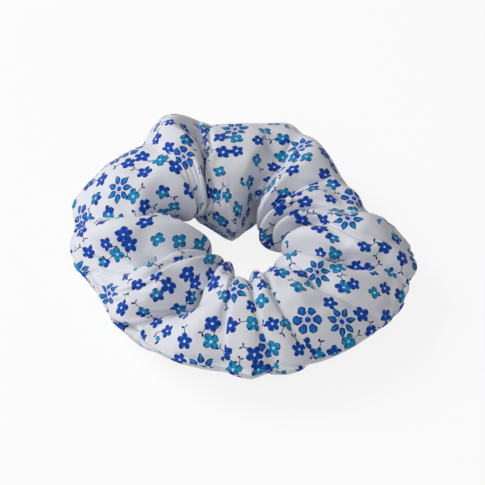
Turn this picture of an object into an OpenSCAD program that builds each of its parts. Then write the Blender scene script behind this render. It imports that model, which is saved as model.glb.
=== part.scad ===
// Gathered hair tie: a cloth sleeve bunched up on a loop of stretch band.
// Lengths are in millimetres and angles in degrees. The tie lies flat on Z = 0,
// with the sleeve's closing seam at the front, towards -Y.

/* [Ring] */
// Radius of the sleeve's centre line
ring_radius = 36; // [33:0.5:44]
// How much longer the centre line's longest radius is than its mean
ring_oval = 1.5; // [0:0.25:3]
// Direction of the centre line's longest radius
oval_turn = 145; // [0:5:180]

/* [Sleeve] */
// Half the sleeve's width, from its middle to the rim
sleeve_half_width = 19; // [16.5:0.5:22]
// Half the sleeve's height
sleeve_half_height = 14.5; // [12.5:0.5:18]
// Thickness of the cloth
cloth_thickness = 0.6; // [0.3:0.1:1.2]
// How far the rim narrows to an edge, from 0 for a round rim to 1 for a sharp one
rim_sharpness = 0.65; // [0:0.05:0.8]
// Depth by which the underside is pressed flat
rest_flat = 0.5; // [0.3:0.1:1]
// Gap between the two halves of the sleeve
half_gap = 0.4; // [0.2:0.1:1]

/* [Stretch band] */
// Width of the band
band_width = 6; // [3:0.5:8]
// Thickness of the band
band_thickness = 1; // [0.6:0.1:1.6]
// Length over which the band's ends lap
band_lap = 14; // [8:1:24]
// Gap between the band and the deepest fold of the sleeve
band_clearance = 0.2; // [0.1:0.05:0.3]

/* [Thread] */
// Thickness of a line of stitches
thread_diameter = 0.5; // [0.3:0.1:0.8]
// Gap between a seam's stitches and the cloth
thread_seat = 0.1; // [0:0.05:0.2]
// Distance of the closing seam's stitches from the sleeve's end
closing_inset = 1.5; // [1:0.25:3]
// Place of the long seam on the sleeve's section, below its outermost line
long_seam_drop = 8; // [4:1:30]
// Length of one zigzag across the band's lap
zigzag_pitch = 3; // [2:0.5:5]

/* [Hidden] */

cloth_colour = "whitesmoke";
band_colour = "white";
thread_colour = "gainsboro";

// Each fold is a valley that runs from the hole over the top to the rim.
// Columns: its angle at the hole, on top and at the rim, its depth at those
// three places, its softness (0 a crease, 1 a smooth dip) and its half-width
// as an angle. The first fold is the closing seam.
folds = [
    [270, 270, 270, 4, 1.5, 0, 0.2, 10],
    [279, 281, 286, 6, 2.5, 0.5, 0.2, 9],
    [293, 290, 299, 2.5, 3, 0.5, 0.3, 12],
    [306, 313, 328, 2, 2, 0, 1, 20],
    [331, 337, 348, 4.5, 8, 1, 0.3, 18],
    [376, 352, 360, 4, 1.5, 0.3, 0.3, 12],
    [392, 372, 374, 4, 4, 5, 0.5, 18],
    [417, 402, 402, 5, 4, 9.5, 0.5, 24],
    [445, 434, 435, 6.5, 3.5, 0, 0.5, 15],
    [502, 474, 460, 3, 1.5, 0, 0.2, 8],
    [508, 478, 464, 6.5, 6, 0, 0.2, 16],
    [514, 501, 497, 6, 0, 0, 1, 20],
    [520, 540, 538, 6.5, 5.5, 1, 0.2, 16],
    [588, 579, 563, 6.5, 8, 1.5, 0.6, 22],
    [601, 591, 580, 3, 1.5, 2.5, 0.3, 10],
    [616, 609, 600, 4, 8.5, 0, 0.9, 24],
    [630, 630, 630, 4, 1.5, 0, 0.2, 10],
];

// Each lobe swells between two folds. Columns: how far it stands out at the
// hole, on top and at the rim.
lobes = [
    [-5, 0, 3],
    [0, 0, 2.5],
    [0, 0, 0],
    [3, 0, 2],
    [5, 1, 1],
    [6, 1, -2],
    [8.5, -3, -11],
    [4, 0, -4.5],
    [7, 1, 2.2],
    [-3, 0, 0],
    [-4, 4, 3],
    [-3, 1.5, 1.5],
    [6.5, 1.5, 0.5],
    [2, 0, -3],
    [3, 0, 0],
    [2.5, 0, 1.2],
];

// Soft hollows between the folds, and swells where the depth is below zero.
// Columns: the angle and the place on the section where a hollow starts and
// where it ends, its half-width and its depth.
hollows = [
    [560, 30, 571, 90, 6, 6],
    [338, 25, 319, 85, 7, 4.5],
    [610, 75, 602, 30, 7, 7],
    [601, 25, 595, 0, 5, 5],
    [386, 88, 380, 60, 4, 2.5],
    [523, 46, 535, 80, 4, 1.6],
    [346, 60, 342, 108, 5, 3],
    [433, 75, 438, 140, 4.5, 4],
    [440, 25, 436, 55, 6, -4],
    [427, 25, 426, 55, 6, -3],
    [474, 25, 477, 60, 6, -4.5],
    [488, 60, 486, 150, 7, -3],
    [503, 80, 506, 140, 9, -3],
    [507, 120, 512, 160, 7, -5],
    [499, 25, 498, 55, 6, 2],
    [526, 0, 520, 50, 7, -2],
    [598, -50, 598, 0, 7, -1.5],
    [480, 190, 475, 225, 7, -2.5],
];

// The lobe at the back that the two halves of the sleeve share, and the angle
// at which they meet there
shared_lobe = 8;
back_turn = 450;

// Deepest that a fold is on the underside, where the sleeve lies pressed, and
// how much narrower it is there
under_fold = 4;
under_narrowing = 0.5;
// Sharpness of a lobe's sides
lobe_power = 0.8;

// Places round the sleeve's section: 0 is the rim, 90 the top and 180 the hole
long_seam_place = 360 - long_seam_drop;
section = [0, 30, 60, 90, 120, 150, 180, 210, 235, 260, 280, 310, long_seam_place];
rows = len(section);
// Steps across each lobe
right_steps = [4, 4, 6, 6, 5, 5, 6, 6, 5];
left_steps = [6, 2, 7, 7, 8, 4, 6, 7];
thread_sides = 6;
band_fragments = 96;

// A value that changes from the hole over the top to the rim
function spread(hole, top, rim, p) =
    let (c = cos(p))
    top * (1 - c * c) + (c > 0 ? rim : hole) * c * c;

function fold_turn(i, p) = spread(folds[i][0], folds[i][1], folds[i][2], p);
function under(p) = sin(p) < 0;
function fold_depth(i, p) =
    spread(folds[i][3], under(p) ? min(folds[i][4], under_fold) : folds[i][4], folds[i][5], p);
function crease(soft, x) = soft * pow(cos(90 * x), 2) + (1 - soft) * pow(1 - x, 2);

function fold_width(i, lobe_turn, p) =
    min(folds[i][7], lobe_turn / 2) * (1 - under_narrowing * max(0, -sin(p)));

// How far one fold draws the cloth in, at an angle away from it
function drawn_in(i, away, lobe_turn, p) =
    fold_depth(i, p) * crease(folds[i][6], min(1, away / fold_width(i, lobe_turn, p)));

// How far one hollow draws the cloth in, by the distance from its line
function hollow_depth(hollow, turn, p) =
    let (
        place = p > 270 ? p - 360 : p,
        along = min(1, max(0, (place - hollow[1]) / (hollow[3] - hollow[1]))),
        aside = (turn - hollow[0] - along * (hollow[2] - hollow[0]))
            * PI / 180 * (ring_radius + sleeve_half_width * cos(p)),
        beyond = (place - hollow[1] - along * (hollow[3] - hollow[1]))
            * PI / 180 * (sleeve_half_width + sleeve_half_height) / 2
    )
    hollow[5] * exp(-(aside * aside + beyond * beyond) / (hollow[4] * hollow[4]));
function sum(values) = values * [for (value = values) 1];

// How far the cloth stands out from the plain section, at a share t of a lobe
function stand_out(lobe, t, p) =
    let (
        start = fold_turn(lobe, p),
        turn = fold_turn(lobe + 1, p) - start
    )
    spread(lobes[lobe][0], under(p) ? 0 : lobes[lobe][1], lobes[lobe][2], p)
        * pow(sin(180 * t), lobe_power)
        - drawn_in(lobe, t * turn, turn, p)
        - drawn_in(lobe + 1, (1 - t) * turn, turn, p)
        - sum([for (hollow = hollows) hollow_depth(hollow, start + t * turn, p)]);

function centre_radius(turn) = ring_radius + ring_oval * cos(2 * (turn - oval_turn));

// A point of the cloth, drawn in by inset along the section's own direction
function cloth_point(lobe, t, p, inset) =
    let (
        turn = fold_turn(lobe, p) + t * (fold_turn(lobe + 1, p) - fold_turn(lobe, p)),
        across = sleeve_half_width * cos(p),
        rise = sleeve_half_height * sin(p)
            * (1 - (cos(p) > 0 ? rim_sharpness : 0) * (1 - abs(sin(p)))),
        stretch = 1 + (stand_out(lobe, t, p) - inset) / norm([across, rise]),
        r = centre_radius(turn) + across * stretch,
        z = max(sleeve_half_height + rise * stretch, rest_flat + inset)
    )
    [r * cos(turn), r * sin(turn), z - rest_flat];

// Share of the shared lobe at which the halves meet
function meeting(p) =
    (back_turn - fold_turn(shared_lobe, p))
        / (fold_turn(shared_lobe + 1, p) - fold_turn(shared_lobe, p));

// Even steps in angle would miss the creases, so they crowd towards the folds
function crowd(k, n) = (1 - cos(180 * k / n)) / 2;

// Columns of one half of the sleeve, each as [lobe, step, steps], front to back
// for the right half and back to front for the left
right_columns = concat(
    [for (lobe = [0 : shared_lobe]) for (k = [0 : right_steps[lobe] - 1])
        [lobe, k, right_steps[lobe]]],
    [[shared_lobe, right_steps[shared_lobe], right_steps[shared_lobe]]]
);
last_lobe = len(lobes) - 1;
left_columns = concat(
    [for (lobe = [shared_lobe : last_lobe]) for (k = [0 : left_steps[lobe - shared_lobe] - 1])
        [lobe, k, left_steps[lobe - shared_lobe]]],
    [[last_lobe, left_steps[last_lobe - shared_lobe], left_steps[last_lobe - shared_lobe]]]
);

// Share of its lobe at which a column lies
function share(column, is_right, p) =
    let (s = crowd(column[1], column[2]))
    column[0] != shared_lobe ? s
        : is_right ? s * meeting(p)
        : meeting(p) + s * (1 - meeting(p));

function wall(columns, is_right, inset) =
    [for (column = columns) for (p = section)
        cloth_point(column[0], share(column, is_right, p), p, inset)];

right_outer = wall(right_columns, true, 0);
left_outer = wall(left_columns, false, 0);

function low(points, axis) = min([for (point = points) point[axis]]);
function high(points, axis) = max([for (point = points) point[axis]]);

// The origin lies under the middle of the whole tie
all_outer = concat(right_outer, left_outer);
middle = [
    (low(all_outer, 0) + high(all_outer, 0)) / 2,
    (low(all_outer, 1) + high(all_outer, 1)) / 2,
    0,
];

// Radius of the sleeve's inner wall beside the hole, at a height in one column
hole_section = [for (i = [rows - 1 : -1 : 0]) if (section[i] > 90 && section[i] < 260) section[i]];
function hole_wall(column, is_right, z) =
    lookup(z, [for (p = hole_section)
        let (point = cloth_point(column[0], share(column, is_right, p), p, cloth_thickness))
        [point[2], norm([point[0], point[1]])]]);

// The band lies inside the sleeve, just outside the deepest folds at the hole
band_z = sleeve_half_height - rest_flat;
band_edges = [band_z - band_width / 2, band_z, band_z + band_width / 2];
band_inner_radius = band_clearance + max([for (z = band_edges) max(
    max([for (column = right_columns) hole_wall(column, true, z)]),
    max([for (column = left_columns) hole_wall(column, false, z)])
)]);
band_outer_radius = band_inner_radius + band_thickness;
lap_turn = 360 * band_lap / (2 * PI * band_outer_radius);
// Angle at which the band's lap starts, in the left half near the front
lap_start = 215;

thread_radius = thread_diameter / 2;
seam_inset = cloth_thickness + thread_seat + thread_radius;

// Two walls over the same columns, closed at both ends
module shell(columns, is_right) {
    count = len(columns);
    points = concat(wall(columns, is_right, 0), wall(columns, is_right, cloth_thickness));
    inner = count * rows;
    function at(c, r) = c * rows + r % rows;
    outer_faces = [for (c = [0 : count - 2]) for (r = [0 : rows - 1]) for (half = [0, 1])
        half == 0
            ? [at(c, r), at(c, r + 1), at(c + 1, r + 1)]
            : [at(c, r), at(c + 1, r + 1), at(c + 1, r)]];
    inner_faces = [for (face = outer_faces) [face[2] + inner, face[1] + inner, face[0] + inner]];
    ends = [for (c = [0, count - 1]) for (r = [0 : rows - 1]) for (half = [0, 1])
        let (
            a = at(c, r),
            b = at(c, r + 1),
            face = half == 0 ? [a, a + inner, b + inner] : [a, b + inner, b]
        )
        c == 0 ? face : [face[2], face[1], face[0]]];
    polyhedron(points, concat(outer_faces, inner_faces, ends));
}

// A round thread along a line of points
module thread(line, closed) {
    count = len(line);
    points = [for (i = [0 : count - 1])
        let (
            before = line[closed ? (i + count - 1) % count : max(0, i - 1)],
            after = line[closed ? (i + 1) % count : min(count - 1, i + 1)],
            along = (after - before) / norm(after - before),
            flat_side = cross(along, [0, 0, 1]),
            side = norm(flat_side) > 0.2 ? flat_side / norm(flat_side) : [1, 0, 0],
            lift = cross(side, along)
        )
        for (k = [0 : thread_sides - 1])
            line[i] + thread_radius
                * (cos(360 * k / thread_sides) * side + sin(360 * k / thread_sides) * lift)];
    function at(i, k) = (i % count) * thread_sides + k % thread_sides;
    sides = [for (i = [0 : count - (closed ? 1 : 2)]) for (k = [0 : thread_sides - 1]) for (half = [0, 1])
        half == 0
            ? [at(i, k), at(i, k + 1), at(i + 1, k + 1)]
            : [at(i, k), at(i + 1, k + 1), at(i + 1, k)]];
    ends = closed ? [] : [for (k = [1 : thread_sides - 2]) for (half = [0, 1])
        half == 0
            ? [at(0, 0), at(0, k + 1), at(0, k)]
            : [at(count - 1, 0), at(count - 1, k), at(count - 1, k + 1)]];
    polyhedron(points, concat(sides, ends));
}

// Places a piece with the origin under the tie's middle, opened out by half the gap
module placed(side) {
    translate([side * half_gap / 2, 0, 0] - middle)
        children();
}

function seam_line(columns, is_right) =
    [for (column = columns)
        cloth_point(column[0], share(column, is_right, long_seam_place), long_seam_place, seam_inset)];

// Right half of the cloth sleeve
module cover_right() {
    color(cloth_colour)
        placed(1)
            shell(right_columns, true);
}

// Left half of the cloth sleeve
module cover_left() {
    color(cloth_colour)
        placed(-1)
            shell(left_columns, false);
}

// Loop of flat stretch band, one end lapped over the other
module stretch_band() {
    color(band_colour)
        translate([0, 0, band_z] - middle) {
            rotate_extrude($fn = band_fragments)
                translate([band_inner_radius, -band_width / 2])
                    square([band_thickness, band_width]);
            rotate([0, 0, lap_start])
                rotate_extrude(angle = lap_turn, $fn = band_fragments)
                    translate([band_outer_radius, -band_width / 2])
                        square([band_thickness, band_width]);
        }
}

// Zigzag stitches that close the band's lap
module band_stitches() {
    zigzags = floor(band_lap / zigzag_pitch) * 2;
    stitch_radius = band_outer_radius + band_thickness;
    stitch_rise = band_width / 3;
    line = [for (i = [0 : zigzags])
        let (turn = lap_start + lap_turn * (i + 0.5) / (zigzags + 1))
        [stitch_radius * cos(turn), stitch_radius * sin(turn), i % 2 == 0 ? -stitch_rise : stitch_rise]];
    color(thread_colour)
        translate([0, 0, band_z] - middle)
            thread(line, false);
}

// Stitches of the long seam inside the right half's outer edge
module long_seam_right() {
    color(thread_colour)
        placed(1)
            thread(seam_line(right_columns, true), false);
}

// Stitches of the long seam inside the left half's outer edge
module long_seam_left() {
    color(thread_colour)
        placed(-1)
            thread(seam_line(left_columns, false), false);
}

// Stitches round the end of the sleeve where its two ends are closed
module closing_seam() {
    line = [for (p = section)
        let (
            turn = fold_turn(last_lobe + 1, p) - fold_turn(last_lobe, p),
            r = ring_radius + sleeve_half_width * cos(p)
        )
        cloth_point(last_lobe, 1 - closing_inset * 360 / (2 * PI * r) / turn, p, seam_inset)];
    color(thread_colour)
        placed(-1)
            thread(line, true);
}

cover_left();
cover_right();
stretch_band();
band_stitches();
long_seam_left();
long_seam_right();
closing_seam();
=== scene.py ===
import math

import bpy
import numpy as np
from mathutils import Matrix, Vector


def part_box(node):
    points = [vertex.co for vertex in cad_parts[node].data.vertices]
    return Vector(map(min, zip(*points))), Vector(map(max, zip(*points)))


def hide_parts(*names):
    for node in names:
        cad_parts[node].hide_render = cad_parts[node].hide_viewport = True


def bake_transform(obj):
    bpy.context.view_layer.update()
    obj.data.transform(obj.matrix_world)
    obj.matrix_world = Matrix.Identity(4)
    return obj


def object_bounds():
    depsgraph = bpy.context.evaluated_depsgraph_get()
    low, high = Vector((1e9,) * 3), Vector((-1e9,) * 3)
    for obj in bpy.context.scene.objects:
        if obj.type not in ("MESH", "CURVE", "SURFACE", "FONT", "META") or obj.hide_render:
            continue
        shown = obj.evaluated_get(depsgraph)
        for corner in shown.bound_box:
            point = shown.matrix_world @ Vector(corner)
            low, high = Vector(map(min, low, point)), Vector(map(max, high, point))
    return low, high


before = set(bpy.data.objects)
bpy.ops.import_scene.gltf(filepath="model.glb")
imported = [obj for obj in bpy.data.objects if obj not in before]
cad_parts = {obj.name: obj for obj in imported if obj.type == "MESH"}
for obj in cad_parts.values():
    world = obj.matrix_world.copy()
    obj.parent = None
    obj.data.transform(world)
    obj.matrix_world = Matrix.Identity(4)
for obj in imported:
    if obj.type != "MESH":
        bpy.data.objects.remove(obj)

cadLow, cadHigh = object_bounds()
mm = 0.001

bandLow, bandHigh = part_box("stretch_band")
ringMiddle = (bandLow + bandHigh) / 2  # the ring's axis and the sleeve's mid height
print("frame loaded, ring axis at", [round(v, 5) for v in ringMiddle])


def deselectAll():
    bpy.ops.object.select_all(action="DESELECT")


def makeActive(obj):
    deselectAll()
    obj.select_set(True)
    bpy.context.view_layer.objects.active = obj


def applyModifier(obj, name):
    makeActive(obj)
    bpy.ops.object.modifier_apply(modifier=name)


# camera at the photo's viewing angle
cameraSettings = {
    "azimuth": 6,
    "elevation": 43,
    "distance": 0.6,
    "aimAbove": 0.5,      # mm above the ring's middle
    "lens": 137.3,
    "sensor": 36,
    "nearest": 0.01,
}


def makeCamera(s):
    azimuth, elevation = math.radians(s["azimuth"]), math.radians(s["elevation"])
    away = Vector((
        math.sin(azimuth) * math.cos(elevation),
        -math.cos(azimuth) * math.cos(elevation),
        math.sin(elevation),
    ))
    aim = Vector((ringMiddle.x, ringMiddle.y, ringMiddle.z + s["aimAbove"] * mm))
    deselectAll()
    bpy.ops.object.camera_add(location=aim + away * s["distance"])
    camera = bpy.context.object
    camera.rotation_euler = away.to_track_quat("Z", "Y").to_euler()
    camera.data.lens = s["lens"]
    camera.data.sensor_width = s["sensor"]
    camera.data.clip_start = s["nearest"]
    camera.data.dof.use_dof = False
    bpy.context.scene.camera = camera


makeCamera(cameraSettings)
print("camera placed")


# the sleeve's folds, from the hole over the top to the rim
# angle at hole, top and rim; depth at hole, top and rim in mm; softness; half width in degrees;
# cuts the print; how far its bottom slides under the next lobe, in degrees for each mm
coverFolds = [
    (270, 270, 270, 4, 1.5, 0, 0.2, 10, True, 0),
    (279, 281, 286, 6, 2.5, 0.5, 0.2, 9, True, 0.3),
    (293, 290, 299, 2.5, 3, 0.5, 0.3, 12, True, 0.3),
    (306, 313, 328, 2, 2, 0, 1, 20, False, 0),
    (331, 337, 348, 4.5, 9.5, 1, 0.3, 16, True, 0.3),
    (376, 352, 360, 4, 1.5, 0.3, 0.3, 12, False, 0),
    (392, 372, 374, 4, 4, 5, 0.5, 18, True, 0),
    (417, 402, 402, 5, 4, 9.5, 0.5, 24, True, 0),
    (445, 434, 435, 7.5, 3.5, 0, 0.5, 15, False, -0.3),
    (502, 474, 460, 3, 1.5, 0, 0.2, 8, True, 0),
    (508, 478, 464, 7.5, 6, 0, 0.2, 16, True, -0.4),
    (514, 501, 497, 7, 0, 0, 1, 20, False, 0),
    (520, 540, 538, 8, 5.5, 1, 0.2, 16, True, 0.5),
    (588, 579, 563, 6.5, 8, 1.5, 1, 24, False, 0),
    (601, 591, 580, 3, 1.5, 2.5, 0.3, 10, False, 0),
    (616, 609, 600, 4, 8.5, 0, 0.6, 24, False, 0.5),
]

# how far each lobe after its fold stands out at the hole, on top and at the rim, and its columns
coverLobes = [
    (-5, 0, 3, 9),
    (0, 0, 2.5, 9),
    (0, 0, 0, 14),
    (3, 0, 2, 14),
    (5, 1, 1, 11),
    (6, 1, -2, 12),
    (8.5, -3, -11, 14),
    (4, 0, -4.5, 14),
    (7, 1, 2.2, 17),
    (-3, 0, 0, 6),
    (-4, 4, 3, 15),
    (-3, 1.5, 1.5, 17),
    (6.5, 1.5, 0.5, 18),
    (2, 0, -3, 9),
    (3, 0, 0, 12),
    (2.5, 0, 1.2, 14),
]

# soft hollows and swells between the folds, from turn and section to turn and section,
# their width and depth in mm
coverHollows = [
    (560, 30, 571, 90, 6.0, 6.0),
    (338, 25, 319, 85, 7.0, 4.5),
    (610, 75, 602, 30, 7.0, 7.0),
    (601, 25, 595, 0, 5.0, 5.0),
    (386, 88, 380, 60, 4.0, 2.5),
    (523, 46, 535, 80, 4.0, 1.6),
    (275, 15, 274, 60, 2.5, 0.8),
    (346, 60, 342, 108, 5.0, 3.0),
    (536, 150, 529, 200, 5.0, 7.0),
    (506, 205, 497, 235, 5.0, 6.0),
    (480, 190, 475, 225, 7.0, -2.5),
    (440, 25, 436, 55, 6.0, -4.0),
    (433, 75, 438, 140, 4.5, 4.0),
    (427, 25, 426, 55, 6.0, -3.0),
    (474, 25, 477, 60, 6.0, -4.5),
    (488, 60, 486, 150, 7.0, -3.0),
    (503, 80, 506, 140, 9.0, -3.0),
    (507, 120, 512, 160, 7.0, -5.0),
    (499, 25, 498, 55, 6.0, 2.0),
    (526, 0, 520, 50, 7.0, -2.0),
    (598, -50, 598, 0, 7.0, -1.5),
]

cover = {
    "ringRadius": 36,
    "ringOval": 1.5,
    "ovalTurn": 145,
    "halfWidth": 19,
    "halfHeight": 14.5,
    "underFold": 4,
    "underNarrowing": 0.5,
    "lobePower": 0.8,
    "rimSharpness": 0.65,
    "restFlat": 0.5,
    "foldsEnd": 25.5,     # radius that no fold passes at the band's height
    "bandReach": 6,       # mm above and below the middle, and how soon that ends
    "bandFade": 2,
    "longSeam": 352,      # place of the long seam round the section
    "sectionRows": 52,
    "rowCrowding": 0.35,  # how far the rows crowd towards the seam
    "columnCrowding": 0.6,
    "sectionRadius": 17,  # mm, its mean
    "sharpBelow": 0.7,    # softness of a fold that is held as a crease
    "creaseReach": 1.5,
    "heldHollow": 5,      # depth in mm from which a hollow is fully held
    "leanFrom": 0.3,      # how far below mid height folds still slide, and are still held
    "heldFrom": 0.4,
    "clothThickness": 0.35,
}

# the cloth settles under a little air, with spare length to wrinkle
settle = {
    "scale": 10,
    "slackHole": 0.06,    # spare cloth where the band gathers it, and at the rim
    "slackRim": 0.0,
    "pressure": 0.15,
    "bending": 3.0,
    "frames": 20,
    "quality": 5,
    "mass": 0.3,
    "stiffness": 40,
    "shear": 20,
    "airDamping": 3,
    "selfDistance": 0.006,
    "hold": 0.36,         # every point, more at the hole, and at least this in folds and at the rim
    "holdHole": 0.5,
    "holdFold": 0.5,
    "holdRim": 0.6,
    "holeRadius": 30,     # mm, where each of them starts, and over how far it grows
    "holeFade": 8,
    "rimRadius": 47,
    "rimFade": 5,
    "slackRadius": 26,
    "slackFade": 24,
    "mostMove": 5,        # mm that a point may move
    "evenOut": 60,        # rounds of averaging that tell drift from wrinkles
    "keepPlace": 0.85,    # share of the drift that is taken back
}

longSeam = {
    "groove": 1.3,        # mm, and half its width
    "grooveWidth": 1.1,
    "lip": 0.5,           # how far the cloth swells beside it
    "lipAway": 2.6,
    "lipWidth": 1.4,
    "pucker": 0.3,
    "puckerWidth": 2.6,
    "puckers": 96,        # round the ring
    "unevenly": ((2, 7), (0.4, 11)),  # how their places and heights vary, and how often
    "sectionRadius": 16.9,
}


def spread(hole, top, rim, c):
    return top * (1 - c * c) + np.where(c > 0, rim, hole) * c * c


def foldTurn(i, c):
    turns = coverFolds[i % len(coverFolds)][:3]
    return spread(*turns, c) + 360 * (i // len(coverFolds))


def drawnIn(i, away, lobeTurn, c, s):
    fold = coverFolds[i % len(coverFolds)]
    top = np.where(s < 0, min(fold[4], cover["underFold"]), fold[4])
    depth = spread(fold[3], top, fold[5], c)
    narrowing = 1 - cover["underNarrowing"] * np.maximum(0, -s)
    x = np.clip(away / (np.minimum(fold[7], lobeTurn / 2) * narrowing), 0, 1)
    soft = fold[6]
    return depth * (soft * np.cos(math.pi / 2 * x) ** 2 + (1 - soft) * (1 - x) ** 2)


def hollowDepth(turn, section):
    # how far the soft hollows draw a column in, in mm
    total = np.zeros_like(section)
    section = (section + 90) % 360 - 90
    radius = cover["ringRadius"] + cover["halfWidth"] * np.cos(np.radians(section))
    for turnA, sectionA, turnB, sectionB, width, depth in coverHollows:
        share = np.clip((section - sectionA) / (sectionB - sectionA), 0, 1)
        aside = np.radians(turn - turnA - share * (turnB - turnA)) * radius
        beyond = np.radians(section - sectionA - share * (sectionB - sectionA))
        beyond = beyond * cover["sectionRadius"]
        total += depth * np.exp(-(aside ** 2 + beyond ** 2) / width ** 2)
    return total


def coverGrid(section):
    # columns of points, each running round the sleeve's section, in mm from the ring's middle
    columns, lobeOf, inFold = [], [], []
    c, s = np.cos(np.radians(section)), np.sin(np.radians(section))
    across = cover["halfWidth"] * c
    rise = cover["halfHeight"] * s * (1 - np.where(c > 0, cover["rimSharpness"], 0) * (1 - np.abs(s)))
    for lobe, (hole, top, rim, steps) in enumerate(coverLobes):
        start, end = foldTurn(lobe, c), foldTurn(lobe + 1, c)
        sides = [coverFolds[i % len(coverFolds)] for i in (lobe, lobe + 1)]
        sharp = [fold[6] < cover["sharpBelow"] for fold in sides]
        leans = [fold[9] * np.clip(s + cover["leanFrom"], 0, 1) for fold in sides]
        for k in range(steps):
            even = k / steps
            crowded = (1 - math.cos(math.pi * even)) / 2
            t = (1 - cover["columnCrowding"]) * even + cover["columnCrowding"] * crowded
            turn = start + t * (end - start)
            before = drawnIn(lobe, t * (end - start), end - start, c, s)
            after = drawnIn(lobe + 1, (1 - t) * (end - start), end - start, c, s)
            turn = turn + before * leans[0] + after * leans[1]
            swell = spread(hole, np.where(s < 0, 0, top), rim, c)
            out = swell * math.sin(math.pi * t) ** cover["lobePower"]
            out = out - before - after - hollowDepth(turn, section)
            stretch = 1 + out / np.hypot(across, rise)
            oval = cover["ringOval"] * np.cos(np.radians(2 * (turn - cover["ovalTurn"])))
            r = cover["ringRadius"] + oval + across * stretch
            z = np.maximum(rise * stretch, cover["restFlat"] - cover["halfHeight"])
            # at the band's height no fold reaches in as far as the band
            past = np.where(c < 0, np.maximum(0, r - cover["foldsEnd"]), 0)
            r = r - past * np.clip((cover["bandReach"] - np.abs(z)) / cover["bandFade"], 0, 1)
            columns.append(np.stack([r * np.cos(np.radians(turn)), r * np.sin(np.radians(turn)), z], -1))
            lobeOf.append(lobe)
            gaps = np.radians(t * (end - start)) * r, np.radians((1 - t) * (end - start)) * r
            near = 0
            for isSharp, gap in zip(sharp, gaps):
                near = near + isSharp * np.exp(-(gap / cover["creaseReach"]) ** 2)
            near = near + np.clip(hollowDepth(turn, section) / cover["heldHollow"], 0, 1)
            inFold.append(np.clip(near, 0, 1) * np.clip(s + cover["heldFrom"], 0, 1))
    return np.array(columns), np.array(lobeOf), np.array(inFold)


def readPoints(mesh):
    flat = np.empty(len(mesh.vertices) * 3, np.float32)
    mesh.vertices.foreach_get("co", flat)
    return flat.reshape(-1, 3).astype(float)


def writePoints(mesh, points):
    mesh.vertices.foreach_set("co", points.astype(np.float32).ravel())
    mesh.update()


def readNormals(mesh):
    flat = np.empty(len(mesh.vertices) * 3, np.float32)
    mesh.vertex_normals.foreach_get("vector", flat)
    return flat.reshape(-1, 3).astype(float)


def readLayer(mesh, name):
    values = np.empty(len(mesh.vertices), np.float32)
    mesh.attributes[name].data.foreach_get("value", values)
    return values.astype(float)


def addLayer(mesh, name, values):
    layer = mesh.attributes.new(name, "FLOAT", "POINT")
    layer.data.foreach_set("value", values.astype(np.float32))


def dropLayers(mesh, *names):
    for name in names:
        mesh.attributes.remove(mesh.attributes[name])


def readCorners(mesh):
    corners = np.empty(len(mesh.loops), np.int32)
    mesh.loops.foreach_get("vertex_index", corners)
    return corners


def writeMap(mesh, name, uv):
    layer = mesh.uv_layers[0]
    layer.name = name
    layer.data.foreach_set("uv", uv.astype(np.float32).ravel())


def makeGrid(name, columns, rows):
    deselectAll()
    bpy.ops.mesh.primitive_grid_add(x_subdivisions=columns, y_subdivisions=rows, size=1)
    obj = bpy.context.object
    obj.name = name
    return obj


def joinSurface(obj):
    # meeting points joined, faces turned outwards and shaded smooth
    makeActive(obj)
    bpy.ops.object.mode_set(mode="EDIT")
    bpy.ops.mesh.select_all(action="SELECT")
    bpy.ops.mesh.remove_doubles(threshold=1e-6)
    bpy.ops.mesh.normals_make_consistent(inside=False)
    bpy.ops.object.mode_set(mode="OBJECT")
    bpy.ops.object.shade_smooth()


def giveWall(obj, thickness, offset):
    wall = obj.modifiers.new("wall", "SOLIDIFY")
    wall.thickness = thickness * mm
    wall.offset = offset
    applyModifier(obj, "wall")


def makeCover():
    # a flat strip, rolled into a tube and closed into a ring
    rows = cover["sectionRows"]
    even = np.arange(rows + 1) / rows
    turned = 360 * (even - cover["rowCrowding"] * np.sin(2 * np.pi * even) / (2 * np.pi))
    grid, lobeOf, inFold = coverGrid(cover["longSeam"] + turned)
    count = len(grid)
    obj = makeGrid("cover", count, rows)
    mesh = obj.data
    place = readPoints(mesh)
    column = np.rint((place[:, 0] + 0.5) * count).astype(int) % count
    row = np.rint((place[:, 1] + 0.5) * rows).astype(int)
    writePoints(mesh, grid[column, row] * mm + np.array(ringMiddle))
    addLayer(mesh, "column", column)
    addLayer(mesh, "row", row % rows)
    addLayer(mesh, "inFold", inFold[column, row])
    # each point's distance from the long seam, in mm
    away = np.minimum(turned, 360 - turned) / 360 * 2 * math.pi * longSeam["sectionRadius"]
    addLayer(mesh, "seamAway", away[row])
    joinSurface(obj)
    print("cover made,", len(mesh.polygons), "faces")
    return obj, lobeOf


def evened(mesh, values, rounds):
    # values averaged with their neighbours' along the edges, over and over
    edges = np.empty(len(mesh.edges) * 2, np.int32)
    mesh.edges.foreach_get("vertices", edges)
    a, b = edges.reshape(-1, 2).T
    count = len(mesh.vertices)
    share = np.bincount(a, minlength=count) + np.bincount(b, minlength=count)
    values = values.copy()
    for _ in range(rounds):
        total = np.stack([
            np.bincount(a, values[b, k], count) + np.bincount(b, values[a, k], count) for k in range(3)
        ], -1)
        values = 0.5 * values + 0.5 * total / share[:, None]
    return values


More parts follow.
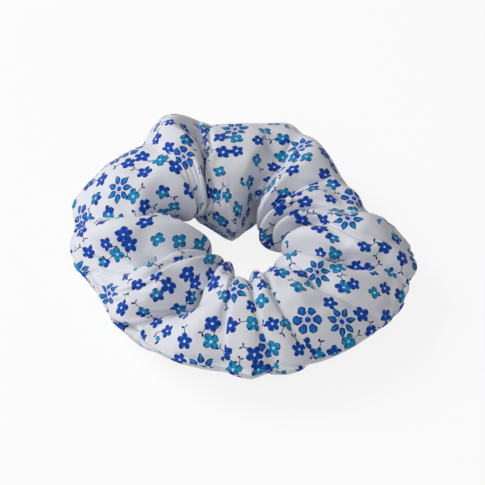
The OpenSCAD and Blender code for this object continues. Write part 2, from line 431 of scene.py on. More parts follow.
def settleCover(obj):
    s = settle
    mesh = obj.data
    before = readPoints(mesh)
    writePoints(mesh, before * s["scale"])
    offset = (before - np.array(ringMiddle)) / mm
    radius = np.hypot(offset[:, 0], offset[:, 1])
    hold = s["hold"] + s["holdHole"] * np.clip((s["holeRadius"] - radius) / s["holeFade"], 0, 1)
    hold = np.maximum(hold, s["holdFold"] * readLayer(mesh, "inFold"))
    hold = np.maximum(hold, s["holdRim"] * np.clip((radius - s["rimRadius"]) / s["rimFade"], 0, 1))
    rim = np.clip((radius - s["slackRadius"]) / s["slackFade"], 0, 1)
    for name, weights in (("hold", hold), ("rim", rim)):
        group = obj.vertex_groups.new(name=name)
        for i, weight in enumerate(weights):
            group.add([i], float(weight), "REPLACE")
    modifier = obj.modifiers.new("settle", "CLOTH")
    cloth = modifier.settings
    cloth.quality = s["quality"]
    cloth.mass = s["mass"]
    cloth.tension_stiffness = cloth.compression_stiffness = s["stiffness"]
    cloth.shear_stiffness = s["shear"]
    cloth.bending_stiffness = s["bending"]
    cloth.air_damping = s["airDamping"]
    cloth.vertex_group_mass = "hold"
    cloth.vertex_group_shrink = "rim"
    cloth.shrink_min = -s["slackHole"]
    cloth.shrink_max = -s["slackRim"]
    cloth.use_pressure = True
    cloth.uniform_pressure_force = s["pressure"]
    cloth.effector_weights.gravity = 0
    modifier.collision_settings.use_collision = False
    modifier.collision_settings.use_self_collision = True
    modifier.collision_settings.self_distance_min = s["selfDistance"]
    scene = bpy.context.scene
    for step in range(1, s["frames"] + 1):
        scene.frame_set(step)
    applyModifier(obj, "settle")
    scene.frame_set(1)
    obj.vertex_groups.clear()
    move = readPoints(mesh) / s["scale"] - before
    move -= s["keepPlace"] * evened(mesh, move, s["evenOut"])
    size = np.linalg.norm(move, axis=1, keepdims=True)
    move *= np.minimum(1, s["mostMove"] * mm / np.maximum(size, 1e-9))
    after = before + move
    after[:, 2] = np.maximum(after[:, 2], cadLow[2])
    writePoints(mesh, after)
    print("cloth settled, moved by", round(float(size.mean()) / mm, 2), "mm on average")


printMap = {"rounds": 1200, "step": 0.5, "alike": 0.15, "mostDrift": 0.6}


def unrolled(strip):
    # flat places of one stretch of cloth between two folds, as long and wide as it really is
    lengths = np.linalg.norm(np.diff(strip, axis=0), axis=-1)
    lengths = np.concatenate([np.zeros((1, strip.shape[1])), np.cumsum(lengths, axis=0)])
    half = len(strip) // 2
    tangent = np.gradient(strip, axis=0)
    tangent /= np.linalg.norm(tangent, axis=-1, keepdims=True)
    step = np.diff(strip, axis=1)
    size = np.linalg.norm(step, axis=-1)
    drift = np.einsum("ijk,ijk->ij", step, (tangent[:, 1:] + tangent[:, :-1]) / 2)
    most = printMap["mostDrift"] * size
    drift = np.clip(drift, -most, most)
    climb = np.sqrt(size ** 2 - drift ** 2)
    u = lengths - lengths[half] + np.concatenate([[0], np.cumsum(drift[half])])
    v = np.concatenate([np.zeros((len(strip), 1)), np.cumsum(climb, axis=1)], axis=1)
    top = strip.shape[1] // 4
    v = v - v[:, top:top + 1] + v[half, top]
    first = np.stack([u, v], -1)
    flat = first.reshape(-1, 2).copy()
    # threads along, across and on the bias pull each place until none is stretched
    index = np.arange(len(flat)).reshape(u.shape)
    pairs = [
        (index[:-1], index[1:]), (index[:, :-1], index[:, 1:]),
        (index[:-1, :-1], index[1:, 1:]), (index[1:, :-1], index[:-1, 1:]),
    ]
    a = np.concatenate([p[0].ravel() for p in pairs])
    b = np.concatenate([p[1].ravel() for p in pairs])
    space = strip.reshape(-1, 3)
    real = np.linalg.norm(space[b] - space[a], axis=1)
    for turn in range(printMap["rounds"]):
        gap = flat[b] - flat[a]
        now = np.maximum(np.linalg.norm(gap, axis=1), 1e-9)
        pull = gap * ((now - real) / now * printMap["step"] / 4)[:, None]
        for k in range(2):
            flat[:, k] += np.bincount(a, pull[:, k], len(flat)) - np.bincount(b, pull[:, k], len(flat))
        # neighbours move alike, less and less so, which keeps the map from doubling back
        moved = np.pad(flat.reshape(first.shape) - first, ((1, 1), (1, 1), (0, 0)), mode="edge")
        alike = (moved[2:, 1:-1] + moved[:-2, 1:-1] + moved[1:-1, 2:] + moved[1:-1, :-2]) / 4
        share = printMap["alike"] * (1 - turn / printMap["rounds"])
        flat += share * (alike - moved[1:-1, 1:-1]).reshape(-1, 2)
    return flat.reshape(first.shape)


def mapCloth(obj, lobeOf):
    # the print's own map, in metres on the flat cloth, cut only in the sharp folds
    mesh = obj.data
    rows, count = cover["sectionRows"], len(lobeOf)
    column = np.rint(readLayer(mesh, "column")).astype(int)
    row = np.rint(readLayer(mesh, "row")).astype(int)
    ring = np.zeros((count, rows, 3))
    ring[column, row] = readPoints(mesh)
    ring = np.concatenate([ring, ring[:, :1]], axis=1)
    ring = np.concatenate([ring, ring[:1]])
    flat = np.zeros((count, 2, rows + 1, 2))
    cuts = [i for i, fold in enumerate(coverFolds) if fold[8]] + [len(coverFolds)]
    base = 0.0
    for first, last in zip(cuts[:-1], cuts[1:]):
        inside = np.nonzero((lobeOf >= first) & (lobeOf < last))[0]
        place = unrolled(ring[inside[0]:inside[-1] + 2])
        place[..., 0] += base - place[..., 0].min()
        base = place[..., 0].max()
        flat[inside, 0] = place[:-1]
        flat[inside, 1] = place[1:]
    corners = readCorners(mesh)
    loopColumn, loopRow = column[corners].reshape(-1, 4), row[corners].reshape(-1, 4)
    for values, end in ((loopColumn, count), (loopRow, rows)):
        wraps = values.max(axis=1) - values.min(axis=1) > 1
        values[wraps[:, None] & (values == 0)] = end
    first = loopColumn.min(axis=1, keepdims=True)
    uv = flat[np.broadcast_to(first, loopColumn.shape), loopColumn - first, loopRow]
    writeMap(mesh, "cloth", uv)
    rim = np.linalg.norm(np.diff(ring, axis=0), axis=-1).sum(axis=0).max()
    around = np.linalg.norm(np.diff(ring, axis=1), axis=-1).sum(axis=1).mean()
    print("cloth mapped: length", round(float(rim), 4), "width", round(float(around), 4))
    return ring, rim, around


def sewLongSeam(obj):
    # the seam's groove, the swell beside it and the small puckers of its stitches
    s = longSeam
    mesh = obj.data
    points = readPoints(mesh)
    away = readLayer(mesh, "seamAway")
    offset = points - np.array(ringMiddle)
    turn = np.arctan2(offset[:, 1], offset[:, 0])
    out = s["lip"] * np.exp(-((away - s["lipAway"]) / s["lipWidth"]) ** 2)
    out -= s["groove"] * np.exp(-(away / s["grooveWidth"]) ** 2)
    (stray, strays), (uneven, swells) = s["unevenly"]
    ripple = np.sin(s["puckers"] * turn + stray * np.sin(strays * turn))
    ripple *= 1 - uneven + uneven * np.sin(swells * turn)
    out += s["pucker"] * ripple * np.exp(-(away / s["puckerWidth"]) ** 2)
    points += readNormals(mesh) * out[:, None] * mm
    points[:, 2] = np.maximum(points[:, 2], cadLow[2])
    writePoints(mesh, points)
    print("long seam sewn")


coverObj, lobeOf = makeCover()
settleCover(coverObj)
clothRing, clothLength, clothWidth = mapCloth(coverObj, lobeOf)
dropLayers(coverObj.data, "column", "row", "inFold")
smoother = coverObj.modifiers.new("smoother", "SUBSURF")
smoother.levels = smoother.render_levels = 1
smoother.uv_smooth = "NONE"
applyModifier(coverObj, "smoother")
sewLongSeam(coverObj)
dropLayers(coverObj.data, "seamAway")
giveWall(coverObj, cover["clothThickness"], -1)
print("cloth has its thickness,", len(coverObj.data.polygons), "faces")


# shader helpers, most of which return a socket
class ShaderKit:
    def __init__(self, material):
        self.nodes, self.links = material.node_tree.nodes, material.node_tree.links

    def put(self, socket, value):
        if isinstance(value, bpy.types.NodeSocket):
            self.links.new(value, socket)
        else:
            socket.default_value = value

    def calc(self, operation, a, b=None, c=None, clamp=False):
        node = self.nodes.new("ShaderNodeMath")
        node.operation = operation
        node.use_clamp = clamp
        for socket, value in zip(node.inputs, (a, b, c)):
            if value is not None:
                self.put(socket, value)
        return node.outputs[0]

    def vector(self, operation, a, b=None, scale=None):
        node = self.nodes.new("ShaderNodeVectorMath")
        node.operation = operation
        self.put(node.inputs[0], a)
        if b is not None:
            self.put(node.inputs[1], b)
        if scale is not None:
            self.put(node.inputs["Scale"], scale)
        return node.outputs["Value" if operation in ("LENGTH", "DOT_PRODUCT", "DISTANCE") else "Vector"]

    def mix(self, share, a, b):
        node = self.nodes.new("ShaderNodeMix")
        node.data_type = "RGBA"
        self.put(node.inputs["Factor"], share)
        self.put(node.inputs[6], a)
        self.put(node.inputs[7], b)
        return node.outputs[2]

    def split(self, vector):
        node = self.nodes.new("ShaderNodeSeparateXYZ")
        self.links.new(vector, node.inputs[0])
        return node.outputs

    def splitColour(self, colour):
        node = self.nodes.new("ShaderNodeSeparateColor")
        self.links.new(colour, node.inputs[0])
        return node.outputs

    def cells(self, vector, spacing, randomness, feature="F1"):
        node = self.nodes.new("ShaderNodeTexVoronoi")
        node.voronoi_dimensions = "2D"
        node.feature = feature
        self.links.new(vector, node.inputs["Vector"])
        node.inputs["Scale"].default_value = 1 / spacing
        node.inputs["Randomness"].default_value = randomness
        return node.outputs

    def noise(self, vector, scale, detail=2.0):
        node = self.nodes.new("ShaderNodeTexNoise")
        node.noise_dimensions = "2D"
        self.links.new(vector, node.inputs["Vector"])
        node.inputs["Scale"].default_value = scale
        node.inputs["Detail"].default_value = detail
        return node.outputs

    def wave(self, vector, direction, scale):
        node = self.nodes.new("ShaderNodeTexWave")
        node.bands_direction = direction
        self.links.new(vector, node.inputs["Vector"])
        node.inputs["Scale"].default_value = scale
        return node.outputs["Fac"]

    def mapPlace(self, name):
        node = self.nodes.new("ShaderNodeUVMap")
        node.uv_map = name
        return node.outputs[0]

    def bump(self, shader, height, strength, distance):
        node = self.nodes.new("ShaderNodeBump")
        node.inputs["Strength"].default_value = strength
        node.inputs["Distance"].default_value = distance
        self.links.new(height, node.inputs["Height"])
        self.links.new(node.outputs[0], shader.inputs["Normal"])

    def below(self, a, b):
        return self.calc("LESS_THAN", a, b)

    def above(self, a, b):
        return self.calc("GREATER_THAN", a, b)

    def both(self, a, b):
        return self.calc("MULTIPLY", a, b)

    def either(self, a, b):
        return self.calc("MAXIMUM", a, b)


def newMaterial(name):
    material = bpy.data.materials.new(name)
    material.use_nodes = True
    g = ShaderKit(material)
    return material, g, g.nodes["Principled BSDF"]


def ink(r, g, b):
    # colour as the eye sees it, 0 to 255, to scene light
    def one(v):
        v = v / 255
        return v / 12.92 if v <= 0.04045 else ((v + 0.055) / 1.055) ** 2.4
    return (one(r), one(g), one(b), 1)


printSettings = {
    "cloth": ink(226, 227, 234),
    "slub": ink(190, 194, 206),
    "slubShare": 0.12,
    "slubScale": 1.4,
    "slubDetail": 3.0,
    "royal": ink(8, 78, 184),
    "navy": ink(6, 40, 112),
    "turquoise": ink(8, 150, 200),
    "mid": ink(34, 126, 206),
    "starSpacing": 29.0,
    "starScatter": 0.72,
    "blossomSpacing": 8.5,
    "blossomScatter": 0.6,
    "keepAway": 6.9,          # blossoms stay this far from a star's middle
    "handWobble": 0.9,        # how far the drawn edges stray, and how finely
    "wobbleScale": 0.45,
    "finer": 1.12,            # the whole print drawn smaller
    "weave": 0.9,             # yarns, and how far the bumps of the cloth show
    "slubBump": 1.5,
    "bump": 0.25,
    "bumpHeight": 0.0001,
    "roughness": 0.6,
    "specular": 0.15,
    "sheen": 0.06,
}

# the small motifs: chances from 0 to 1, and sizes in mm before the print is drawn smaller
blossom = {
    "plainBelow": 0.48,       # royal with five petals
    "fourBelow": 0.7,         # turquoise with four, and two colours above that
    "budAbove": 0.93,
    "stemAbove": 0.22,
    "stem": (1.6, 4.9),       # from the middle
    "stemBend": 0.09,
    "stemHalf": 0.17,
    "leafPlace": (4.6, 0.81),
    "leaves": (((0.45, 0.89), 1.9, 0.72), ((0.8, -0.6), 1.6, 0.62)),  # direction, length, width
    "size": 2.6,
    "sizeSpread": 0.7,
    "five": (5, 0.58),        # petals, and the share of their length left between them
    "four": (4, 0.55),
    "fourTurn": 0.5,
    "blunt": 0.75,
    "outline": 0.12,
    "moreOutline": 0.2,       # on those that aren't plain
    "vein": 0.42,
    "veinStart": 0.9,
    "halves": (0.4, 0.2),     # slope and start of the second colour
    "heart": 0.46,
    "budOne": (1.4, 2.8, 1.5),         # shift, length, width
    "budTwo": (2.2, 0.9, 2.0, 0.9),    # shift along and across, length, width
}

# the large motifs, in the same way
star = {
    "starBelow": 0.62,
    "petals": 7,
    "petalStart": 1.5,
    "petalLength": 4.2,
    "petalHalf": 1.2,
    "belly": 0.9,
    "seenFrom": 1.6,
    "outline": 0.34,
    "streakHalf": 0.8,
    "streakStart": 2.0,
    "streakRise": 0.6,
    "heart": 0.95,            # radius of the heart, the ring round it and the line on that
    "ring": 1.85,
    "line": (1.32, 1.5),
}
openFlower = {
    "petals": 6,
    "round": 0.5,
    "tip": 2.1,
    "shoulder": 3.0,
    "flare": (0.44, -0.14),   # half width for each mm from the middle, and its start
    "outline": 0.3,
    "tipOutline": 0.38,
    "streakHalf": 1.3,
    "streakStart": 2.4,
}


def motifPlace(g, here, cell, turnShare):
    # place on one motif, turned by its own chance: x, y, distance and direction
    flat = g.vector("SUBTRACT", here, cell["Position"])
    node = g.nodes.new("ShaderNodeVectorRotate")
    node.rotation_type = "Z_AXIS"
    g.links.new(flat, node.inputs["Vector"])
    g.put(node.inputs["Angle"], g.calc("MULTIPLY", turnShare, 2 * math.pi))
    x, y = g.split(node.outputs[0])[:2]
    return x, y, g.vector("LENGTH", flat), g.calc("ARCTAN2", y, x)


def petalEdge(g, angle, count, valley, blunt):
    # 1 at each petal's tip, valley between petals
    ripple = g.calc("ABSOLUTE", g.calc("COSINE", g.calc("MULTIPLY", angle, count / 2)))
    return g.calc("MULTIPLY_ADD", g.calc("POWER", ripple, blunt), 1 - valley, valley)


def petalOff(g, angle, count):
    # 0 in the middle of each of the circle's equal shares, 0.5 where two of them meet
    share = g.calc("FRACT", g.calc("MULTIPLY", angle, count / (2 * math.pi)))
    return g.calc("ABSOLUTE", g.calc("SUBTRACT", share, 0.5))


def leafShape(g, along, across, length, width):
    # a pointed leaf or bud along its own length
    body = g.calc("SINE", g.calc("MULTIPLY", along, math.pi / length))
    inside = g.below(g.calc("ABSOLUTE", across), g.calc("MULTIPLY", body, width / 2))
    return g.both(inside, g.both(g.above(along, 0.0), g.below(along, length)))


def drawStem(g, x, y):
    # a bent stem with two leaves at its end
    s = blossom
    start, end = s["stem"]
    fromEdge = g.calc("SUBTRACT", x, start)
    bend = g.calc("MULTIPLY", g.calc("MULTIPLY", fromEdge, fromEdge), s["stemBend"])
    offStem = g.calc("ABSOLUTE", g.calc("SUBTRACT", y, bend))
    drawn = g.both(g.both(g.above(x, start), g.below(x, end)), g.below(offStem, s["stemHalf"]))
    endX, endY = (g.calc("SUBTRACT", a, b) for a, b in zip((x, y), s["leafPlace"]))
    for (a, b), length, width in s["leaves"]:
        along = g.calc("MULTIPLY_ADD", endX, a, g.calc("MULTIPLY", endY, b))
        across = g.calc("MULTIPLY_ADD", endX, b, g.calc("MULTIPLY", endY, -a))
        drawn = g.either(drawn, leafShape(g, along, across, length, width))
    return drawn


def drawBuds(g, x, y, isBud, colour):
    # a loose pair of buds
    p = printSettings
    shift, length, width = blossom["budOne"]
    bud = leafShape(g, g.calc("ADD", x, shift), y, length, width)
    colour = g.mix(g.both(isBud, bud), colour, p["turquoise"])
    shift, aside, length, width = blossom["budTwo"]
    bud = leafShape(g, g.calc("ADD", y, shift), g.calc("SUBTRACT", x, aside), length, width)
    return g.mix(g.both(isBud, bud), colour, p["navy"])


def drawBlossoms(g, here, cell, colour):
    # royal, turquoise and two-coloured blossoms on stems, and loose buds
    p, s = printSettings, blossom
    chance = g.splitColour(cell["Color"])
    toStar = g.cells(cell["Position"], p["starSpacing"], p["starScatter"])
    free = g.above(toStar["Distance"], p["keepAway"] / p["starSpacing"])
    x, y, r, angle = motifPlace(g, here, cell, chance[0])
    kind = chance[1]
    isBud = g.both(free, g.above(kind, s["budAbove"]))
    isBlossom = g.both(free, g.below(kind, s["budAbove"]))
    isOutlined = g.both(isBlossom, g.above(kind, s["plainBelow"]))
    isTwo = g.both(isBlossom, g.above(kind, s["fourBelow"]))
    hasStem = g.both(isBlossom, g.above(chance[2], s["stemAbove"]))
    colour = g.mix(g.both(hasStem, drawStem(g, x, y)), colour, p["navy"])
    # petals
    size = g.calc("MULTIPLY_ADD", chance[2], s["sizeSpread"], s["size"])
    five = petalEdge(g, angle, *s["five"], s["blunt"])
    four = petalEdge(g, g.calc("ADD", angle, s["fourTurn"]), *s["four"], s["blunt"])
    isFour = g.both(g.above(kind, s["plainBelow"]), g.below(kind, s["fourBelow"]))
    shape = g.calc("MULTIPLY_ADD", isFour, g.calc("SUBTRACT", four, five), five)
    edge = g.calc("MULTIPLY", size, shape)
    petals = g.both(isBlossom, g.below(r, edge))
    outline = g.calc("MULTIPLY_ADD", isOutlined, s["moreOutline"], s["outline"])
    inside = g.both(petals, g.below(r, g.calc("SUBTRACT", edge, outline)))
    fill = g.both(isOutlined, inside)
    colour = g.mix(petals, colour, p["navy"])
    colour = g.mix(inside, colour, p["royal"])
    slope, start = s["halves"]
    blueHalf = g.both(isTwo, g.above(g.calc("SUBTRACT", y, g.calc("MULTIPLY", x, slope)), start))
    colour = g.mix(fill, colour, p["turquoise"])
    colour = g.mix(g.both(fill, blueHalf), colour, p["royal"])
    vein = g.both(g.above(petalOff(g, angle, s["five"][0]), s["vein"]), g.above(r, s["veinStart"]))
    colour = g.mix(g.both(petals, vein), colour, p["navy"])
    colour = g.mix(g.both(petals, g.below(r, s["heart"])), colour, p["cloth"])
    return drawBuds(g, x, y, isBud, colour)


def petalSide(g, r, off, count):
    # distance from a petal's middle line
    return g.calc("MULTIPLY", r, g.calc("SINE", g.calc("MULTIPLY", off, 2 * math.pi / count)))


def petalStreak(g, r, side, s):
    # 1 along a petal's middle, fading towards its sides and its foot
    streak = g.calc("SUBTRACT", 1.0, g.calc("DIVIDE", side, s["streakHalf"]), clamp=True)
    reach = g.calc("SUBTRACT", r, s["streakStart"])
    return g.both(streak, g.calc("MULTIPLY", reach, star["streakRise"], clamp=True))


def drawPointedPetals(g, r, angle, isStar, colour):
    p, s = printSettings, star
    side = petalSide(g, r, petalOff(g, angle, s["petals"]), s["petals"])
    along = g.calc("DIVIDE", g.calc("SUBTRACT", r, s["petalStart"]), s["petalLength"], clamp=True)
    body = g.calc("SINE", g.calc("MULTIPLY", g.calc("POWER", along, s["belly"]), math.pi))
    half = g.calc("MULTIPLY", body, s["petalHalf"])
    petal = g.both(isStar, g.both(g.below(side, half), g.above(r, s["seenFrom"])))
    inner = g.both(petal, g.below(side, g.calc("SUBTRACT", half, s["outline"])))
    colour = g.mix(petal, colour, p["navy"])
    return g.mix(inner, colour, g.mix(petalStreak(g, r, side, s), p["royal"], p["turquoise"]))


def drawRoundPetals(g, r, angle, isOpen, colour):
    p, s = printSettings, openFlower
    off = petalOff(g, angle, s["petals"])
    bow = g.calc("POWER", g.calc("COSINE", g.calc("MULTIPLY", off, math.pi)), s["round"])
    edge = g.calc("MULTIPLY_ADD", bow, s["tip"], s["shoulder"])
    side = petalSide(g, r, off, s["petals"])
    half = g.calc("MULTIPLY_ADD", r, *s["flare"])
    seen = g.both(g.below(r, edge), g.above(r, star["seenFrom"]))
    petal = g.both(g.both(isOpen, g.below(side, half)), seen)
    inner = g.both(
        g.below(side, g.calc("SUBTRACT", half, s["outline"])),
        g.below(r, g.calc("SUBTRACT", edge, s["tipOutline"])),
    )
    colour = g.mix(petal, colour, p["navy"])
    fill = g.mix(petalStreak(g, r, side, s), p["royal"], p["mid"])
    return g.mix(g.both(petal, inner), colour, fill)


def drawStars(g, here, cell, colour):
    # star flowers with pointed petals, and open flowers with rounded ones
    p, s = printSettings, star
    chance = g.splitColour(cell["Color"])
    r, angle = motifPlace(g, here, cell, chance[0])[2:]
    colour = drawPointedPetals(g, r, angle, g.below(chance[1], s["starBelow"]), colour)
    colour = drawRoundPetals(g, r, angle, g.above(chance[1], s["starBelow"]), colour)
    ring = g.both(g.below(r, s["ring"]), g.above(r, s["heart"]))
    colour = g.mix(ring, colour, p["cloth"])
    lineStart, lineEnd = s["line"]
    line = g.both(g.below(r, lineEnd), g.above(r, lineStart))
    colour = g.mix(line, colour, p["mid"])
    return g.mix(g.below(r, s["heart"]), colour, p["royal"])


def makePrintedCloth():
    p = printSettings
    material, g, shader = newMaterial("printedCotton")
    place = g.mapPlace("cloth")
    flat = g.vector("SCALE", place, scale=1 / mm)  # mm on the cloth
    drawn = g.vector("SCALE", place, scale=p["finer"] / mm)
    stray = g.vector("SUBTRACT", g.noise(drawn, p["wobbleScale"])["Color"], (0.5, 0.5, 0.5))
    here = g.vector("ADD", drawn, g.vector("SCALE", stray, scale=p["handWobble"]))
    # yarns a little lighter and darker than each other
    slub = g.noise(flat, p["slubScale"], p["slubDetail"])["Fac"]
    colour = g.mix(g.calc("MULTIPLY", slub, p["slubShare"]), p["cloth"], p["slub"])
    for feature in ("F2", "F1"):
        cell = g.cells(here, p["blossomSpacing"], p["blossomScatter"], feature)
        colour = drawBlossoms(g, here, cell, colour)
    colour = drawStars(g, here, g.cells(here, p["starSpacing"], p["starScatter"]), colour)
    g.put(shader.inputs["Base Color"], colour)
    # plain weave and a few thicker yarns
    weave = g.calc("ADD", g.wave(flat, "X", p["weave"]), g.wave(flat, "Y", p["weave"]))
    height = g.calc("MULTIPLY_ADD", slub, p["slubBump"], weave)
    g.bump(shader, height, p["bump"], p["bumpHeight"])
    shader.inputs["Roughness"].default_value = p["roughness"]
    shader.inputs["Specular IOR Level"].default_value = p["specular"]
    shader.inputs["Sheen Weight"].default_value = p["sheen"]
    return material


clothMaterial = makePrintedCloth()
coverObj.data.materials.clear()
coverObj.data.materials.append(clothMaterial)
print("printed cloth done")


def stretchWith(obj):
    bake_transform(obj)


# woven stretch band: a flat strip bent into a loop, its ends lapped
band = {
    "innerRadius": 26.1,
    "width": 6,
    "thickness": 1,
    "lapStart": 215,
    "lap": 14,
    "lapGap": 0.06,
    "climbStart": 346,    # where the strip starts to climb over its own start, and over what angle
    "climbTurn": 12,
    "ribs": 14,
    "ribHeight": 0.06,
    "ribRoom": 0.14,      # taken off the thickness for the ribs
    "columns": 260,
    "rows": 28,
    "light": ink(240, 240, 236),
    "dark": ink(206, 206, 202),
    "picks": 0.55,
    "warp": 0.73,
    "bump": 0.5,
    "bumpHeight": 0.0002,
    "roughness": 0.7,
}
lapTurn = math.degrees(band["lap"] / (band["innerRadius"] + band["thickness"]))


def makeElastic():
    s = band
    material, g, shader = newMaterial("wovenElastic")
    flat = g.vector("SCALE", g.mapPlace("strip"), scale=1 / mm)
    picks = g.wave(flat, "X", s["picks"])
    warp = g.wave(flat, "Y", s["warp"])
    g.put(shader.inputs["Base Color"], g.mix(g.both(picks, warp), s["dark"], s["light"]))
    g.bump(shader, g.calc("ADD", picks, warp), s["bump"], s["bumpHeight"])
    shader.inputs["Roughness"].default_value = s["roughness"]
    return material


def makeBand():
    s = band
    obj = makeGrid("elasticBand", s["columns"], s["rows"])
    mesh = obj.data
    place = readPoints(mesh)
    along = place[:, 0] + 0.5
    turn = along * (360 + lapTurn)
    climb = np.clip((turn - s["climbStart"]) / s["climbTurn"], 0, 1)
    climb = climb * climb * (3 - 2 * climb)
    rib = s["ribHeight"] * np.cos(place[:, 1] * 2 * math.pi * s["ribs"])
    radius = s["innerRadius"] + s["thickness"] / 2 + climb * (s["thickness"] + s["lapGap"]) + rib
    angle = np.radians(s["lapStart"] + turn)
    across = place[:, 1] * s["width"]
    points = np.stack([radius * np.cos(angle), radius * np.sin(angle), across], -1)
    writePoints(mesh, points * mm + np.array(ringMiddle))
    length = np.radians(360 + lapTurn) * s["innerRadius"]
    writeMap(mesh, "strip", (np.stack([along * length, across], -1) * mm)[readCorners(mesh)])
    joinSurface(obj)
    giveWall(obj, s["thickness"] - s["ribRoom"], 0)
    mesh.materials.append(makeElastic())
    stretchWith(obj)
    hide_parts("stretch_band")
    print("band made")


makeBand()


# sewing thread, laid as a fine cord along each line of stitches
thread = {
    "diameter": 0.5,
    "longDepth": 2.6,      # mm below the seam's edge
    "closingDepth": 1.1,
    "stitch": 2.6,
    "wander": 0.18,
    "step": 0.8,           # between the line's points
    "zigzags": 8,
    "bandGap": 0.1,        # mm from the band
    "bevelSteps": 2,
    "light": ink(242, 243, 247),
    "dark": ink(214, 216, 224),
    "fibres": 4000,
    "fibreDetail": 3,
    "bump": 0.4,
    "bumpHeight": 0.0001,
    "roughness": 0.6,
}


def makeThreadMaterial():
    s = thread
    material, g, shader = newMaterial("cottonThread")
    where = g.nodes.new("ShaderNodeTexCoord").outputs["Object"]
    node = g.nodes.new("ShaderNodeTexNoise")
    g.links.new(where, node.inputs["Vector"])
    node.inputs["Scale"].default_value = s["fibres"]
    node.inputs["Detail"].default_value = s["fibreDetail"]
    fibres = node.outputs["Fac"]
    g.put(shader.inputs["Base Color"], g.mix(fibres, s["dark"], s["light"]))
    g.bump(shader, fibres, s["bump"], s["bumpHeight"])
    shader.inputs["Roughness"].default_value = s["roughness"]
    return material


threadMaterial = makeThreadMaterial()


def layThread(name, line, closed, nodes):
    # a curve with a round section, made into a mesh
    curve = bpy.data.curves.new(name, "CURVE")
    curve.dimensions = "3D"
    spline = curve.splines.new("POLY")
    spline.points.add(len(line) - 1)
    for point, place in zip(spline.points, line):
        point.co = (*place, 1)
    spline.use_cyclic_u = closed
    curve.bevel_depth = thread["diameter"] / 2 * mm
    curve.bevel_resolution = thread["bevelSteps"]
    curve.use_fill_caps = not closed
    obj = bpy.data.objects.new(name, curve)
    bpy.context.scene.collection.objects.link(obj)
    makeActive(obj)
    bpy.ops.object.convert(target="MESH")
    obj = bpy.context.object
    obj.data.materials.append(threadMaterial)
    bpy.ops.object.shade_smooth()
    stretchWith(obj)
    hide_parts(*nodes)


def alongLine(points, step):
    # a closed line of points taken again at even steps, in metres
    closed = np.concatenate([points, points[:1]])
    length = np.concatenate([[0], np.cumsum(np.linalg.norm(np.diff(closed, axis=0), axis=1))])
    count = int(length[-1] / step)
    at = np.arange(count) * length[-1] / count
    return np.stack([np.interp(at, length, closed[:, k]) for k in range(3)], -1), at


def inwards(points, depth):
    # moved towards the sleeve's own middle line
    offset = points - np.array(ringMiddle)
    radius = np.hypot(offset[:, 0], offset[:, 1])
    middle = offset / radius[:, None] * cover["ringRadius"] * mm
    middle[:, 2] = 0
    way = middle - offset
    way /= np.linalg.norm(way, axis=1, keepdims=True)
    return points + way * np.asarray(depth)[:, None] * mm


def sewSeam(name, edge, depth, nodes):
    s = thread
    line, at = alongLine(edge, s["step"] * mm)
    depth = depth + s["wander"] * np.sin(2 * math.pi * at / (s["stitch"] * mm))
    layThread(name, inwards(line, depth), True, nodes)


def sewLap():
    # zigzag through the band's lap
    s, b = thread, band
    radius = (b["innerRadius"] + 2 * b["thickness"] + s["bandGap"]) * mm
    line = []
    for i in range(s["zigzags"] + 1):
        turn = math.radians(b["lapStart"] + lapTurn * (i + 0.5) / (s["zigzags"] + 1))
        rise = b["width"] / 3 * (-1 if i % 2 == 0 else 1) * mm
        line.append(ringMiddle + Vector((radius * math.cos(turn), radius * math.sin(turn), rise)))
    layThread("bandStitches", line, False, ["band_stitches"])


sewSeam("longSeam", clothRing[:-1, 0], thread["longDepth"], ["long_seam_left", "long_seam_right"])
sewSeam("closingSeam", clothRing[0, :-1], thread["closingDepth"], ["closing_seam"])
sewLap()
print("threads laid")

# the strip's two long edges, turned in behind the long seam
allowance = {"start": 1.9, "depth": 6.5, "rows": 6, "apart": 0.42}


def addAllowances(obj):
    s = allowance
    line = clothRing[:-1, 0]
    count = len(line)
    length = np.concatenate([[0], np.cumsum(np.linalg.norm(np.diff(clothRing[:, 0], axis=0), axis=1))])
    top = max(loop.uv[1] for loop in obj.data.uv_layers["cloth"].data)
    plies = []
    for side in (1, -1):
        ply = makeGrid("ply", count, s["rows"])
        mesh = ply.data
        place = readPoints(mesh)
        column = np.rint((place[:, 0] + 0.5) * count).astype(int)
        share = place[:, 1] + 0.5
        points = inwards(line[column % count], s["start"] + share * s["depth"])
        points[:, 2] += side * s["apart"] / 2 * mm
        writePoints(mesh, points)
        edge = -share * s["depth"] * mm if side > 0 else top + share * s["depth"] * mm
        writeMap(mesh, "cloth", np.stack([length[column], edge], -1)[readCorners(mesh)])
        joinSurface(ply)
        giveWall(ply, cover["clothThickness"], 0)
        ply.data.materials.append(clothMaterial)
        plies.append(ply)
    makeActive(obj)
    for ply in plies:
        ply.select_set(True)
    bpy.ops.object.join()
    print("seam allowances turned in")


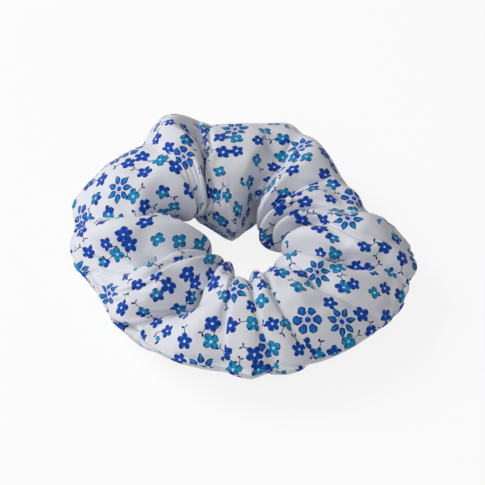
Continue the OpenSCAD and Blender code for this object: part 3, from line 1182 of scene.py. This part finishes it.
addAllowances(coverObj)
stretchWith(coverObj)
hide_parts("cover_left", "cover_right")


# floor that looks nearly white to the camera, and soft light
floorSettings = {
    "size": 6,
    "below": 0.00002,
    "colour": (0.9, 0.9, 0.9, 1),
    "roughness": 0.9,
    "whiteness": 0.85,
}
white = (1, 1, 1, 1)


def makeFloor():
    s = floorSettings
    deselectAll()
    bpy.ops.mesh.primitive_plane_add(size=s["size"], location=(0, 0, -s["below"]))
    floor = bpy.context.object
    floor.name = "floor"
    material, g, shader = newMaterial("paleFloor")
    shader.inputs["Base Color"].default_value = s["colour"]
    shader.inputs["Roughness"].default_value = s["roughness"]
    path = g.nodes.new("ShaderNodeLightPath")
    glow = g.nodes.new("ShaderNodeEmission")
    glow.inputs["Color"].default_value = white
    seen = path.outputs["Is Camera Ray"]
    for name in ("Is Glossy Ray", "Is Transmission Ray"):
        seen = g.either(seen, path.outputs[name])
    mixer = g.nodes.new("ShaderNodeMixShader")
    g.put(mixer.inputs[0], g.calc("MULTIPLY", seen, s["whiteness"]))
    g.put(mixer.inputs[1], shader.outputs[0])
    g.put(mixer.inputs[2], glow.outputs[0])
    g.put(g.nodes["Material Output"].inputs["Surface"], mixer.outputs[0])
    floor.data.materials.append(material)


lights = [
    {"name": "keyLight", "from": (-0.70, 0.18, 0.66), "size": 0.5, "watts": 5.8},
    {"name": "fillLight", "from": (-0.1, -0.72, 0.75), "size": 0.9, "watts": 3.3},
]
worldStrength = 0.25


def makeLights():
    for s in lights:
        deselectAll()
        bpy.ops.object.light_add(type="AREA", location=s["from"])
        lamp = bpy.context.object
        lamp.name = s["name"]
        lamp.data.energy = s["watts"]
        lamp.data.size = s["size"]
        lamp.rotation_euler = Vector(s["from"]).to_track_quat("Z", "Y").to_euler()
    world = bpy.data.worlds.new("studio")
    world.use_nodes = True
    background = world.node_tree.nodes["Background"]
    background.inputs["Color"].default_value = white
    background.inputs["Strength"].default_value = worldStrength
    bpy.context.scene.world = world


makeFloor()
makeLights()
bpy.context.scene.view_settings.view_transform = "Standard"
print("floor and light done")
